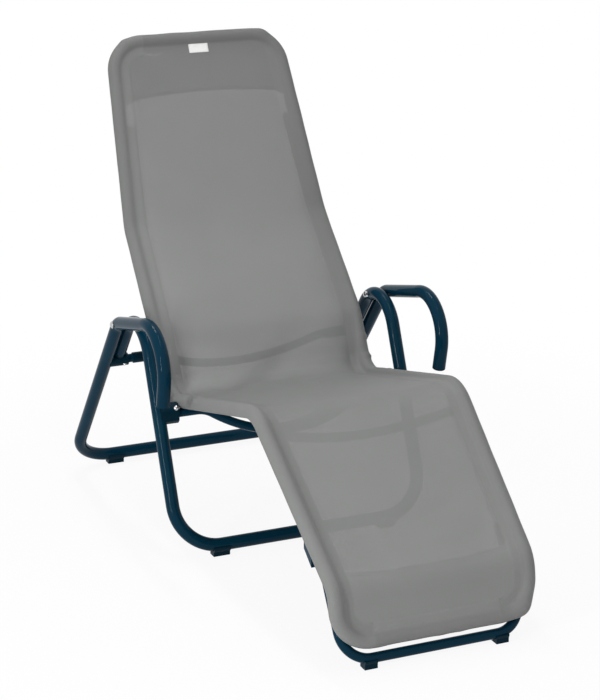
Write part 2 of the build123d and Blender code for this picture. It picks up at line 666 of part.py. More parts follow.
write("front_frame", front_frame())
write("rear_frame", rear_frame())
write_together("fold_bolts", fold_bolt())
write_together("fold_nuts", fold_nut())
write_pair("fold_spacer", fold_spacer())
write("rear_crossbar", rear_crossbar())
write_pair("crossbar_sleeve", end_sleeve())
write_together("sleeve_screws", sleeve_screw())
write_pair("tilt_buffer", bar_sleeve(buffer_outer_x - BUFFER_LENGTH, buffer_outer_x, BUFFER_D))
write_pair("hook_plug", hook_plug())
write_pair("armrest_cap", armrest_cap())
write_pair("rear_pad", floor_pad(
    rear_rod, TUBE_D, Vector(rear_half_width - REAR_PAD_INSET, REAR_FLOOR_Y, bar_z), REAR_PAD_LENGTH))
write_pair("front_pad", floor_pad(
    front_rod, TUBE_D, Vector(FRONT_HALF_WIDTH - FRONT_PAD_INSET, 0, bar_z), FRONT_PAD_LENGTH))
write_pair("foot_pad", floor_pad(
    foot_rod, FOOT_TUBE_D, Vector(foot_half_width - FOOT_PAD_INSET, FOOT_FLOOR_Y, foot_bar_z),
    FOOT_PAD_LENGTH))
write("back_frame", shell_side(back_path))
write("leg_frame", shell_side(leg_path))
write_pair("frame_joiner", frame_joiner())
write("seat_crossbar", seat_crossbar())
write("knee_crossbar", knee_crossbar())
write_pair("pivot_block", pivot_block())
write_pair("pivot_bush", pivot_bush())
write_together("block_bolts", block_bolt())
write_pair("foot_bracket", drilled_bracket())
write("foot_frame", foot_frame())
write_together("hinge_pins", hinge_pin())
write_pair("foot_arm_plug", foot_arm_plug())
write("sling", sling())
write("label", label())

for name, place in (("shell tilt", pivot), ("frame fold", fold_pivot), ("foot fold", foot_hinge)):
    print(name, "axis at", round(place.Y - origin_y, 3), round(place.Z, 3))
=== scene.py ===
import math

import bmesh
import bpy
import numpy as np
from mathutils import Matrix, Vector


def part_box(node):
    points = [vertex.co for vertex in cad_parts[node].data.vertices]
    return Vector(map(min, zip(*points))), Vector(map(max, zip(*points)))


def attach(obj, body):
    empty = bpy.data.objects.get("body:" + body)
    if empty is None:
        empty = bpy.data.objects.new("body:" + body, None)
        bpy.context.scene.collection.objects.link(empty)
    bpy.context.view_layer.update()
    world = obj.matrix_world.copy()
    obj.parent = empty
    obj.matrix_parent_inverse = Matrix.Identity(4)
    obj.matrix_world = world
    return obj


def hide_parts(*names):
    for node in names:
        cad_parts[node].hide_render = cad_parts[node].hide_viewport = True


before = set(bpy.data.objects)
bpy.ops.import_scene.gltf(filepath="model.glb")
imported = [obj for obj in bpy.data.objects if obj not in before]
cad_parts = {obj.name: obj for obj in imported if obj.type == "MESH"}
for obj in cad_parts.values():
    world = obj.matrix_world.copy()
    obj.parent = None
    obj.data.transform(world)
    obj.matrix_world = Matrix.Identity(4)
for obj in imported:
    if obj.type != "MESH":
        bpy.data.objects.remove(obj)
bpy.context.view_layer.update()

# Tilting patio lounger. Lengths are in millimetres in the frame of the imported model, and meshes
# are written in metres. The left side of the lounger is -1 and the right side 1.

MM = 0.001

# Shell side line, the same corner points and bends as the shell tubes
MIDDLE_Y = 5.5
SIDE_POINTS = [(211.0, -646.5, 57.5), (213.0, -628.0, 164.3), (231.0, -278.0, 426.3),
               (244.0, 194.6, 308.8), (247.0, 268.0, 441.0), (238.5, 457.0, 646.0),
               (208.0, 651.0, 1046.0)]
SIDE_BENDS = [70.0, 60.0, 88.0, 75.0, 150.0, 120.0, 75.0]
BACK_BEND = 5
SIDE_VIEW = (0, 1, 1)
OTHER_SIDE = (-1, 1, 1)

# Rows along the sling and columns across its panel
ROW_STEP = 6.0
CORNER_STEPS = 18
LEAST_BEND_STEPS = 4
COLUMNS = 61

# Cloth, sleeves and pockets
CLOTH = 0.3
MESH_PITCH = 2.2
REAR_WEAVE = 1.37
SLEEVE_R = 15.9
PANEL_H = 7.0
SEAM_D = 36.0
SEAM_DENT = 0.6
FILLET_R = 10.0
HEM_DROP = 2.2
HEM_START = 206.0
HEM_FADE = 14.0
HEAD_POCKET = 144.0
FOOT_POCKET = 142.0
POCKET_BOW = 12.0
POCKET_HALF = 190.0
POCKET_DENT = 0.35
POCKET_DENT_WIDTH = 8.0
FAR_EDGE = 120.0
UNDER_D = 8.45
UNDER_H = -13.5

# Section of a sleeve: the valley beside the tube, the wrap round it in degrees, and the way back
VALLEY_INSETS = (5.0, 10.0)
VALLEY_TURNS = (0.0, 0.25, 0.5, 0.75)
TAUT_SHARES = (0.12, 0.25, 0.4, 0.55, 0.7, 0.85)
WRAP_STEPS = 21
HEM_ANGLE = 302.0
OPEN_ANGLE = 238.0
OPEN_TURN = 7.0
BULGE_ANGLE = 150.0
BULGE_SPREAD = 0.75
RETURN_SHARES = (0.25, 0.5, 0.75, 1.0)
TOP_POINTS = 16

# Values at the corners of the side line: height of the side seams above the tubes' middle plane,
# depth of the valley beside the tube (0 is taut), and painted light and shade of the cloth (lighter
# towards the foot, darker towards the head) and of the hems
SEAM_HEIGHTS = {-1: (7.0, 7.0, 7.0, 5.0, 7.5, 9.0, 7.0), 1: (7.0, 7.0, 7.0, 1.5, 13.0, 18.5, 7.0)}
VALLEY_DEPTHS = {-1: (1.0, 1.0, 1.0, 0.8, 0.45, 0.3, 0.4), 1: (1.0, 0.35, 0.7, 1.0, 0.4, 0.1, 0.5)}
LENGTH_PAINTED_SHADING = (1.13, 1.09, 1.0, 1.0, 1.02, 0.89, 0.83)
# Painted shading of the hems: the left hem of the back painted lighter, where light falls from the left,
# the right hems a little darker
HEM_PAINTED_SHADING = {-1: (1.0, 0.97, 0.95, 1.0, 1.15, 1.26, 1.15), 1: (1.0, 1.0, 1.0, 0.95, 0.93, 0.93, 1.0)}

# Painted light where a pocket's rear layer backs the panel, and painted shade where the cloth lies on a
# tube, lighter on the left side, where the light falls; the shade is darkest at the middle of a sleeve's
# section
POCKET_PAINTED_LIGHT = {"head": 1.02, "foot": 1.09}
SLEEVE_PAINTED_SHADE = {-1: 0.97, 1: 0.88, "head": 0.88, "foot": 0.88}
TONE_MIDDLE = 16.5
TONE_REACH = 13.5
TONE_POWER = 6

# How far the cloth bridges hollows and gives over humps, as (height, y, z, reach)
BRIDGES = [
    (19.0, 205.0, 330.0, 95.0), (9.0, 300.0, 480.0, 110.0), (4.0, 440.0, 630.0, 190.0),
    (-6.0, -278.0, 426.0, 80.0), (-3.0, -600.0, 190.0, 90.0),
]
TENSION = 5.0
EASE_REACH = 60.0
EASE_SPAN = 150.0
EASE_POWER = 8
LOOSE_POWER = 6
STILL_SPAN = 60.0
STILL_SHARE = 0.6
FOLD_OVERRUN = 0.2

# Folds of the panel as (start, end, width, height): those at the ends of the pivot bar and at the
# foot corners, which both sides have, and single ones
MIRRORED_FOLDS = [
    ((200.0, 150.0, 330.0), (60.0, 90.0, 345.0), 9.0, -0.8),
    ((196.0, 175.0, 335.0), (90.0, 170.0, 340.0), 8.0, 0.8),
    ((200.0, 195.0, 365.0), (120.0, 240.0, 420.0), 9.0, -1.2),
    ((150.0, -645.0, 100.0), (90.0, -630.0, 150.0), 9.0, 0.7),
    ((165.0, -640.0, 120.0), (120.0, -610.0, 210.0), 9.0, -0.7),
]
FOLDS = [
    ((198.0, 198.0, 352.0), (97.0, 56.0, 351.0), 9.0, -0.9),
    ((-160.0, 160.0, 338.0), (-105.0, 100.0, 343.0), 22.0, -3.0),
    ((-200.0, -262.0, 420.0), (200.0, -262.0, 420.0), 6.0, 1.1),
    ((-188.0, -320.0, 407.0), (-10.0, -274.0, 419.0), 6.0, -0.5),
    ((-185.0, -300.0, 410.0), (-60.0, -255.0, 420.0), 8.0, 0.3),
    ((150.0, -505.0, 262.0), (-40.0, -540.0, 236.0), 22.0, -2.2),
    ((160.0, -455.0, 298.0), (20.0, -480.0, 280.0), 20.0, 1.4),
    ((150.0, -560.0, 222.0), (10.0, -580.0, 208.0), 18.0, 1.2),
]

# Room between a sleeve and its tube, and its bulges as (side or bar, place along it, width, height)
SLEEVE_ROOM = 0.3
BULGES = [
    (-1, 912.0, 6.0, 0.8), (-1, 868.0, 7.0, 2.6), (-1, 836.0, 9.0, 2.8), (-1, 796.0, 14.0, 1.6),
    (1, 905.0, 8.0, 0.8), (1, 866.0, 8.0, 1.8), (1, 1012.0, 6.0, 3.2), (-1, 1008.0, 9.0, 2.2),
    (1, 1062.0, 5.0, 2.8),
    ("head", -60.0, 30.0, 0.8), ("head", 70.0, 40.0, 0.6),
    ("foot", -128.0, 18.0, 0.8), ("foot", 6.0, 14.0, 0.9), ("foot", 52.0, 12.0, 0.9),
    ("foot", 140.0, 18.0, 0.6),
]
# Pointed corners of the sleeves as (side, row from the end, width in rows, height)
EARS = [(-1, -7, 1.5, 2.5), (1, -6, 2.2, 4.0), (1, 8, 3.6, 10.0)]

# Notches of the sleeves round the ends of the seat and knee bars as (y, z, from x, to x), and
# round the foot hinge brackets as corners in the side view
BAR_NOTCHES = [(106.5, 304.9, 205.0, 280.0), (-332.9, 383.9, 184.0, 232.0)]
BAR_NOTCH_R = 10.5
BRACKET_NOTCH = [(-517.0, 247.0), (-512.4, 212.5), (-550.1, 184.3), (-554.5, 219.0)]
BRACKET_ROOM = 0.5

# Stitches
STITCH_RINGS = [(0.0, 0.3), (0.15, 0.85), (0.5, 1.0), (0.85, 0.85), (1.0, 0.3)]
STITCH_SIDES = 6
STITCH_RISE = 0.2
STITCH_ARCH = 1.2
STITCH_LIFT = CLOTH / 2 + 0.05
STITCH_R = 0.3
STITCH_PITCH = 5.2
STITCH_LENGTH = 3.4
HEM_SEAM_SHARES = (0.012, 0.034)
POCKET_SEAM_INSETS = (3.0, 7.5)

# Label
LABEL_X = 3.0
LABEL_TOP = 15.25
LABEL_WIDE = 49.0
LABEL_HIGH = 21.5
LABEL_THICK = 0.5
LABEL_GAP = 0.1
LABEL_PUFF = 0.45
LABEL_RIPPLE = 0.12
LABEL_COLUMNS = 29
LABEL_ROWS = 15
LABEL_CORNER = 0.5
LABEL_SEAM = 1.7
LABEL_STITCH_R = 0.22
LABEL_STITCH_LIFT = 0.25
LABEL_STITCH_PITCH = 2.6
LABEL_STITCH_LENGTH = 1.8


def unit(v):
    return v / np.linalg.norm(v)


def smooth_step(value, low, high):
    share = min(max((value - low) / (high - low), 0.0), 1.0)
    return share * share * (3 - 2 * share)


def side_line():
    """Right side tube from the foot bar's bend to the top bar's bend: places and directions."""
    line = [np.array((x, y - MIDDLE_Y, z)) for x, y, z in SIDE_POINTS]
    line = [line[0] * SIDE_VIEW, *line, line[-1] * SIDE_VIEW]
    places, ways = [], []
    for k, bend in enumerate(SIDE_BENDS, 1):
        before, here, after = line[k - 1:k + 2]
        back, on = unit(before - here), unit(after - here)
        half = math.acos(float(back @ on)) / 2
        turn = math.pi - 2 * half
        start = here + back * (bend / math.tan(half))
        centre = here + unit(back + on) * (bend / math.sin(half))
        steps = max(LEAST_BEND_STEPS, math.ceil(bend * turn / ROW_STEP))
        if k in (1, len(SIDE_BENDS)):
            steps = CORNER_STEPS
        if places:
            last = places[-1]
            count = math.ceil(np.linalg.norm(start - last) / ROW_STEP)
            for s in range(1, count):
                places.append(last + (start - last) * (s / count))
                ways.append(-back)
        for s in range(steps + 1):
            angle = turn * s / steps
            across = start - centre
            places.append(centre + across * math.cos(angle) - back * (bend * math.sin(angle)))
            ways.append(unit(-back * math.cos(angle) - unit(across) * math.sin(angle)))
    return np.array(places), np.array(ways)


def side_run(first, second):
    """Way from one corner point of the side line to another in the side view."""
    return unit(np.array(SIDE_POINTS[second]) * SIDE_VIEW - np.array(SIDE_POINTS[first]) * SIDE_VIEW)


# Rows of the cloth: places on the tube, the way along it, the cloth's normal and outward way,
# and the places of the side seam
places, ways = side_line()
ROWS = len(places)
X_WAY = np.array((1.0, 0.0, 0.0))
foot_run = side_run(0, 1)
head_run = side_run(-2, -1)
runs = ways * SIDE_VIEW
runs[:CORNER_STEPS + 1] = foot_run
runs[-CORNER_STEPS - 1:] = head_run
runs = runs / np.linalg.norm(runs, axis=1)[:, None]
normals = np.cross(X_WAY, runs)
outs = np.cross(ways, normals)
edges = places - outs * SEAM_D + normals * PANEL_H
shares = np.linspace(-1.0, 1.0, COLUMNS)

# Length along the side seam at each row, and how much more of it the sleeves have in the end corners
row_step = np.linalg.norm(np.diff(edges[:, 1:], axis=0), axis=1)
row_length = np.concatenate([[0.0], np.cumsum(row_step)])
step_gain = np.linalg.norm(np.diff(places, axis=0), axis=1) - row_step
step_gain[CORNER_STEPS:-CORNER_STEPS] = 0.0
corner_gain = np.concatenate([[0.0], np.cumsum(step_gain)])
corner_gain -= corner_gain[CORNER_STEPS]

corner_rows = [int(np.argmin(np.linalg.norm(places - (x, y - MIDDLE_Y, z), axis=1)))
               for x, y, z in SIDE_POINTS]
corner_length = row_length[corner_rows]

# Where each row lies along the sling, measured from the middles of the end bends
below_head = (places[-1] - edges) @ head_run
above_foot = (edges - places[0]) @ foot_run


def along(values):
    """Values given at the corners of the side line, spread over the rows."""
    return np.interp(row_length, corner_length, values)


seam_h = {side: along(values) for side, values in SEAM_HEIGHTS.items()}
slack = {side: along(values) for side, values in VALLEY_DEPTHS.items()}
painted_hem_shading = {side: along(values) for side, values in HEM_PAINTED_SHADING.items()}
painted_shading_by_length = along(LENGTH_PAINTED_SHADING)


def bump_at(y, z, reach):
    """Smooth share, one at a place of the side view and falling off over a reach."""
    away = np.hypot(edges[:, 1] - (y - MIDDLE_Y), edges[:, 2] - z)
    return np.exp(-(away / reach) ** 2)


def eased_bend(corner):
    """How far the cloth cuts across a hollow bend of the side line, by row."""
    pull = []
    for i in range(ROWS):
        weight = np.exp(-((row_length - row_length[i]) / EASE_REACH) ** 2)
        middle = (edges * weight[:, None]).sum(axis=0) / weight.sum()
        pull.append(float((middle - edges[i]) @ normals[i]))
    return np.array(pull) * np.exp(-((row_length - corner_length[corner]) / EASE_SPAN) ** 2)


def cloth_waves(points):
    """Low uneven waves of the stretched cloth, of lengths that do not repeat together."""
    x, y, z = points[..., 0], points[..., 1], points[..., 2]
    down = y * 0.6 + z * 0.8
    wave = 0.5 * np.sin(down / 61.0 + 1.3 * np.sin(x / 97.0) + 0.4)
    wave = wave + 0.4 * np.sin(x / 43.0 + down / 173.0 + 2.1)
    return wave + 0.3 * np.sin((x + down) / 37.0 + 0.7 * np.sin(down / 53.0))


def fold(points, start, end, width, height):
    """Soft ridge or valley along a line of the cloth, fading at both ends."""
    start, end = np.array(start, float), np.array(end, float)
    line = end - start
    length = np.linalg.norm(line)
    share = np.clip(((points - start) @ line) / length**2, -FOLD_OVERRUN, 1 + FOLD_OVERRUN)
    away = np.linalg.norm(points - (start + share[..., None] * line), axis=-1)
    fade = np.clip(1 - np.abs(2 * share - 1) ** 3, 0, 1)
    return height * fade * np.exp(-(away / width) ** 2)


def mirrored_fold(points, start, end, width, height):
    other = [(-p[0], p[1], p[2]) for p in (start, end)]
    return fold(points, start, end, width, height) + fold(points, *other, width, height)


def bow_at(x):
    """How far a pocket's edge bows towards the end bar."""
    return POCKET_BOW * (1 - (x / POCKET_HALF) ** 2)


def panel_points():
    """Grid of the stretched panel between the two side seams."""
    grid = np.zeros((ROWS, COLUMNS, 3))
    grid[:, :, 0] = edges[:, :1] * shares
    grid[:, :, 1:] = edges[:, None, 1:]
    bridge = sum(height * bump_at(y, z, reach) for height, y, z, reach in BRIDGES)
    profile = 1 - np.cosh(TENSION * shares) / math.cosh(TENSION)
    ease = eased_bend(BACK_BEND)[:, None] * (1 - np.abs(shares) ** EASE_POWER)
    rise = bridge[:, None] * profile + ease
    to_right = (shares + 1) / 2
    rise = rise + seam_h[-1][:, None] * (1 - to_right) + seam_h[1][:, None] * to_right - PANEL_H
    from_end = np.minimum(below_head, above_foot)[:, None]
    end_fade = np.clip(from_end / STILL_SPAN - STILL_SHARE, 0, 1)
    loose = 1 - np.abs(shares) ** LOOSE_POWER
    rise = rise + cloth_waves(grid) * loose * end_fade
    for crease in MIRRORED_FOLDS:
        rise = rise + mirrored_fold(grid, *crease) * loose
    for crease in FOLDS:
        rise = rise + fold(grid, *crease) * loose
    # seams dent the cloth: along the two sides and over the edges of the pockets
    bow = bow_at(grid[:, :, 0])
    for pocket, far in ((HEAD_POCKET, below_head), (FOOT_POCKET, above_foot)):
        past_edge = far[:, None] - pocket + bow
        rise = rise - POCKET_DENT * np.exp(-(past_edge / POCKET_DENT_WIDTH) ** 2)
    rise[:, 0] -= SEAM_DENT
    rise[:, -1] -= SEAM_DENT
    return grid + normals[:, None, :] * rise[..., None]


def bulge_at(line, place):
    """How far a sleeve stands off its tube at a place, apart from its pointed corners."""
    loose = SLEEVE_ROOM + SLEEVE_ROOM * math.sin(place / 47.0 + 0.8) * math.sin(place / 19.0)
    for side, middle, width, height in BULGES:
        if side == line:
            loose += height * math.exp(-((place - middle) / width) ** 2)
    return loose


def ear_at(line, row):
    """How far the sleeve's pointed corner stands off at a row of a side."""
    high = 0.0
    for side, from_end, width, height in EARS:
        if side == line:
            high += height * math.exp(-((row - from_end % ROWS) / width) ** 2)
    return high


def lower_edge_h(d_tube, to_edge):
    """Height of a pocket's rear layer between the tube's underside and its sewn edge."""
    span = max(d_tube - UNDER_D, 0.0)
    share = span / (span + max(to_edge, 0.0) + 1e-6)
    return UNDER_H + (PANEL_H - HEM_DROP - UNDER_H) * share


def ring_profile(hem, end_h, panel_h, depth, bulge):
    """Section round the tube as (inward, up): the top layer, the tube and the layer below."""
    centre_h = panel_h + FILLET_R
    centre_d = math.sqrt(max((SLEEVE_R + FILLET_R) ** 2 - centre_h ** 2, 1.0))
    meet = math.atan2(centre_h, centre_d)
    touch = math.atan2(panel_h, SEAM_D) + math.acos(SLEEVE_R / math.hypot(panel_h, SEAM_D))
    valley = [(SEAM_D - inset, panel_h) for inset in VALLEY_INSETS]
    for share in VALLEY_TURNS:
        angle = -math.pi / 2 - (math.pi / 2 - meet) * share
        valley.append((centre_d + FILLET_R * math.cos(angle), centre_h + FILLET_R * math.sin(angle)))
    touch_d, touch_h = SLEEVE_R * math.cos(touch), SLEEVE_R * math.sin(touch)
    profile = []
    for (d, h), share in zip(valley, TAUT_SHARES):
        taut_d, taut_h = SEAM_D + (touch_d - SEAM_D) * share, panel_h + (touch_h - panel_h) * share
        profile.append((d * depth + taut_d * (1 - depth), h * depth + taut_h * (1 - depth)))
    first = meet * depth + touch * (1 - depth)
    last = math.radians(HEM_ANGLE * hem + OPEN_ANGLE * (1 - hem))
    for angle in np.linspace(first, last, WRAP_STEPS):
        spread = max(math.cos((angle - math.radians(BULGE_ANGLE)) * BULGE_SPREAD), 0.0)
        reach = SLEEVE_R + bulge * spread ** 2
        profile.append((reach * math.cos(angle), reach * math.sin(angle)))
    d0, h0 = profile[-1]
    for share in RETURN_SHARES:
        straight = (d0 + (SEAM_D - d0) * share, h0 + (end_h - h0) * share)
        angle = last + math.radians(OPEN_TURN * share)
        open_end = (SLEEVE_R * math.cos(angle), SLEEVE_R * math.sin(angle))
        profile.append(tuple(straight[k] * hem + open_end[k] * (1 - hem) for k in (0, 1)))
    return profile


def ring_at(i, line, across):
    """Section of the sleeve at a row of a side, or at a place across a bar, and its seam's height."""
    if line not in seam_h:
        end_h = lower_edge_h(SEAM_D, FAR_EDGE)
        return ring_profile(1.0, end_h, PANEL_H, 1.0, bulge_at(line, across)), PANEL_H
    to_head = below_head[i] - HEAD_POCKET
    to_foot = above_foot[i] - FOOT_POCKET
    edge_left = max(-to_head, -to_foot, 0.0)
    open_share = smooth_step(HEM_START - below_head[i], 0, HEM_FADE) * smooth_step(to_head, 0, HEM_FADE)
    panel_h = seam_h[line][i]
    end_h = lower_edge_h(SEAM_D, edge_left) if edge_left > 0 else PANEL_H - HEM_DROP
    end_h += panel_h - PANEL_H
    # in the end corners the side's section goes over into the bar's
    into_corner = max(CORNER_STEPS - i, i + CORNER_STEPS + 1 - ROWS) / CORNER_STEPS
    corner = smooth_step(into_corner, 0.0, 1.0)
    depth = slack[line][i] * (1 - corner) + corner
    at_bar = bulge_at("head" if i > ROWS / 2 else "foot", across) * corner
    bulge = bulge_at(line, row_length[i]) * (1 - corner) + at_bar + ear_at(line, i)
    return ring_profile(1 - open_share, end_h, panel_h, depth, bulge), panel_h


def perimeter():
    """Stations round the sling: grid cell, tube centre, outward way, and the side or bar."""
    stations = []
    for i in range(ROWS):
        stations.append((i, COLUMNS - 1, places[i], outs[i], 1))
    for j in range(COLUMNS - 2, 0, -1):
        centre = np.array((places[-1][0] * shares[j], *places[-1][1:]))
        stations.append((ROWS - 1, j, centre, head_run, "head"))
    for i in range(ROWS - 1, -1, -1):
        stations.append((i, 0, places[i] * OTHER_SIDE, outs[i] * OTHER_SIDE, -1))
    for j in range(1, COLUMNS - 1):
        centre = np.array((places[0][0] * shares[j], *places[0][1:]))
        stations.append((0, j, centre, -foot_run, "foot"))
    return stations


def painted_pocket_light(row, x):
    """Painted light on the panel: a little lighter where the rear layer of a pocket backs it."""
    if below_head[row] < HEAD_POCKET - bow_at(x):
        return POCKET_PAINTED_LIGHT["head"]
    if above_foot[row] < FOOT_POCKET - bow_at(x):
        return POCKET_PAINTED_LIGHT["foot"]
    return 1.0


def add_sleeves(verts, faces, flat):
    """Sleeves round the shell tubes. Returns the last point of the section at each grid cell."""
    loops, last_vert = [], {}
    for i, j, centre, out, line in perimeter():
        section, panel_h = ring_at(i, line, centre[0])
        # Painted shade where the cloth lies on the tube, going over into the painted light or shade of
        # the hem or pocket at the section's ends
        painted_tube_shade = SLEEVE_PAINTED_SHADE[line]
        painted_edge_shading = painted_hem_shading[line][i] if line in painted_hem_shading else POCKET_PAINTED_LIGHT[line]
        loop = [i * COLUMNS + j]
        girth, before = 0.0, (SEAM_D, panel_h)
        for k, (d, h) in enumerate(section):
            off_middle = min(abs(k - TONE_MIDDLE) / TONE_REACH, 1.0)
            tone = painted_tube_shade + (painted_edge_shading - painted_tube_shade) * off_middle ** TONE_POWER
            girth += math.hypot(d - before[0], h - before[1])
            before = (d, h)
            loop.append(len(verts))
            verts.append(tuple(centre - out * d + normals[i] * h))
            if line in seam_h:
                flat.append((line * (abs(edges[i][0]) + girth), row_length[i] + corner_gain[i], tone))
            else:
                outward = -1.0 if line == "foot" else 1.0
                flat.append((centre[0], row_length[i] + outward * girth, tone))
        loops.append(loop)
        last_vert[(i, j)] = loop[-1]
    for a, b in zip(loops, loops[1:] + loops[:1]):
        for k in range(len(a) - 1):
            faces.append((a[k], b[k], b[k + 1], a[k + 1]))
    return last_vert


def add_pocket(verts, faces, flat, last_vert, depth, drop, run, half, bend):
    """Rear layer of an end pocket, from the sleeves to its sewn edge."""
    rows = [i for i in range(ROWS) if drop[i] <= depth]
    cells = {}
    for i in rows:
        for j in range(COLUMNS):
            if (i, j) in last_vert:
                cells[(i, j)] = last_vert[(i, j)]
                continue
            x = edges[i][0] * shares[j]
            from_side, from_bar = edges[i][0] + SEAM_D - abs(x), drop[i]
            qx, qy = abs(x) - (half - bend), bend - from_bar
            if qx > 0 and qy > 0:
                d_tube = bend - math.hypot(qx, qy)
            else:
                d_tube = (from_side ** -3 + from_bar ** -3) ** (-1 / 3)
            height = lower_edge_h(d_tube, depth - drop[i]) - PANEL_H
            bow = bow_at(x) * (drop[i] / depth)
            point = np.array((x, *edges[i][1:])) + normals[i] * height + run * bow
            cells[(i, j)] = len(verts)
            verts.append(tuple(point))
            flat.append((x * REAR_WEAVE, row_length[i] * REAR_WEAVE, 1.0))
    for i in rows:
        for j in range(COLUMNS - 1):
            ring = [(i, j), (i + 1, j), (i + 1, j + 1), (i, j + 1)]
            if all(c in cells for c in ring):
                faces.append(tuple(cells[c] for c in ring))


def grid_faces(rows, columns):
    """Four-sided faces of a grid of points."""
    corners = [i * columns + j for i in range(rows - 1) for j in range(columns - 1)]
    return [(a, a + 1, a + columns + 1, a + columns) for a in corners]


panel = panel_points()


def build_sling():
    """The whole cloth as one mesh: panel, sleeves round the shell tubes and the end pockets.

    The flat values of a point are its place on the laid-out cloth and its painted light and shade."""
    verts = [tuple(p) for p in panel.reshape(-1, 3)]
    flat = [(panel[i, j, 0], row_length[i], painted_pocket_light(i, panel[i, j, 0]))
            for i in range(ROWS) for j in range(COLUMNS)]
    faces = grid_faces(ROWS, COLUMNS)
    last_vert = add_sleeves(verts, faces, flat)
    add_pocket(verts, faces, flat, last_vert, HEAD_POCKET, below_head, head_run,
               SIDE_POINTS[-1][0], SIDE_BENDS[-1])
    add_pocket(verts, faces, flat, last_vert, FOOT_POCKET, above_foot, -foot_run,
               SIDE_POINTS[0][0], SIDE_BENDS[0])
    return verts, faces, flat


def put_in_scene(name, data):
    piece = bpy.data.objects.new(name, data)
    bpy.context.scene.collection.objects.link(piece)
    return piece


def new_object(name, verts, faces, smooth=True):
    mesh = bpy.data.meshes.new(name)
    mesh.from_pydata([tuple(c * MM for c in v) for v in verts], [], faces)
    mesh.validate()
    if smooth:
        mesh.shade_smooth()
    return put_in_scene(name, mesh)


def face_outward(mesh):
    fixer = bmesh.new()
    fixer.from_mesh(mesh)
    bmesh.ops.recalc_face_normals(fixer, faces=fixer.faces)
    fixer.to_mesh(mesh)
    fixer.free()


def thicken(piece, thickness):
    """Gives a sheet its thickness, half to each side."""
    thick = piece.modifiers.new("thickness", "SOLIDIFY")
    thick.thickness = thickness * MM
    thick.offset = 0.0


def shaped_mesh(piece):
    """Mesh of a piece as its modifiers shape it."""
    return bpy.data.meshes.new_from_object(piece.evaluated_get(bpy.context.evaluated_depsgraph_get()))


def apply_modifiers(piece):
    """Writes the modifiers' result to the mesh."""
    shaped = shaped_mesh(piece)
    piece.modifiers.clear()
    piece.data = shaped


verts, faces, flat = build_sling()
sling = new_object("sling_cloth", verts, faces)
cloth_way = sling.data.attributes.new("cloth_way", "FLOAT_VECTOR", "POINT")
cloth_way.data.foreach_set("vector", [c for u, v, _ in flat for c in (u * MM, v * MM, 0.0)])
# Painted light and shade of the cloth on its points: lighter towards the foot and darker towards the
# head, with the painted shading of the sleeves, hems and pockets
painted_cloth_shading = sling.data.attributes.new("painted_cloth_shading", "FLOAT", "POINT")
painted_shading_values = [tone * float(np.interp(v, row_length, painted_shading_by_length)) for _, v, tone in flat]
painted_cloth_shading.data.foreach_set("value", painted_shading_values)
face_outward(sling.data)
sling.data.shade_smooth()
thicken(sling, CLOTH)


def bar_cutter(points, radius):
    """Round bar that cuts a notch in the cloth."""
    curve = bpy.data.curves.new("bar_notch", "CURVE")
    curve.dimensions = "3D"
    curve.bevel_depth = radius * MM
    curve.bevel_resolution = 6
    curve.use_fill_caps = True
    line = curve.splines.new("POLY")
    line.points.add(len(points) - 1)
    for point, place in zip(line.points, points):
        point.co = (place[0] * MM, place[1] * MM, place[2] * MM, 1.0)
    bar = put_in_scene("bar_notch", curve)
    mesh = shaped_mesh(bar)
    bpy.data.objects.remove(bar)
    return put_in_scene("bar_notch", mesh)


def bracket_cutter(side):
    """Prism that makes room for a foot hinge bracket in the sleeve."""
    low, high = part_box("foot_bracket_right")
    near = [(side * (low[0] / MM - BRACKET_ROOM), y, z) for y, z in BRACKET_NOTCH]
    far = [(side * (high[0] / MM + BRACKET_ROOM), y, z) for y, z in BRACKET_NOTCH]
    walls = [(0, 1, 5, 4), (1, 2, 6, 5), (2, 3, 7, 6), (3, 0, 4, 7)]
    prism = new_object("bracket_notch", near + far, [(3, 2, 1, 0), (4, 5, 6, 7), *walls], False)
    face_outward(prism.data)
    return prism


cutters = []
for side in (1, -1):
    for y, z, near, far in BAR_NOTCHES:
        cutters.append(bar_cutter([(side * near, y, z), (side * far, y, z)], BAR_NOTCH_R))
    cutters.append(bracket_cutter(side))
for cutter in cutters:
    cut = sling.modifiers.new("notch", "BOOLEAN")
    cut.operation = "DIFFERENCE"
    cut.solver = "EXACT"
    cut.object = cutter
apply_modifiers(sling)
for cutter in cutters:
    bpy.data.objects.remove(cutter)
sling.data.shade_smooth()

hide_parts("sling")
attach(sling, "shell")


def stitch_mesh(name, runs, radius):
    """Short threads as slim beads, each from a start to an end with its upward direction."""
    points, polygons = [], []
    for start, end, up in runs:
        start, end, up = (np.asarray(v, float) for v in (start, end, up))
        across = unit(np.cross(end - start, up))
        base = len(points)
        for share, size in STITCH_RINGS:
            lift = radius * (STITCH_RISE + STITCH_ARCH * share * (1 - share))
            middle = start + (end - start) * share + up * lift
            for k in range(STITCH_SIDES):
                angle = math.tau * k / STITCH_SIDES
                spoke = across * math.cos(angle) + up * math.sin(angle)
                points.append(tuple(middle + spoke * radius * size))
        for ring in range(len(STITCH_RINGS) - 1):
            first = base + ring * STITCH_SIDES
            for k in range(STITCH_SIDES):
                a, b = first + k, first + (k + 1) % STITCH_SIDES
                polygons.append((a, b, b + STITCH_SIDES, a + STITCH_SIDES))
        polygons.append(tuple(base + k for k in reversed(range(STITCH_SIDES))))
        last_ring = base + (len(STITCH_RINGS) - 1) * STITCH_SIDES
        polygons.append(tuple(last_ring + k for k in range(STITCH_SIDES)))
    piece = new_object(name, points, polygons)
    face_outward(piece.data)
    return piece


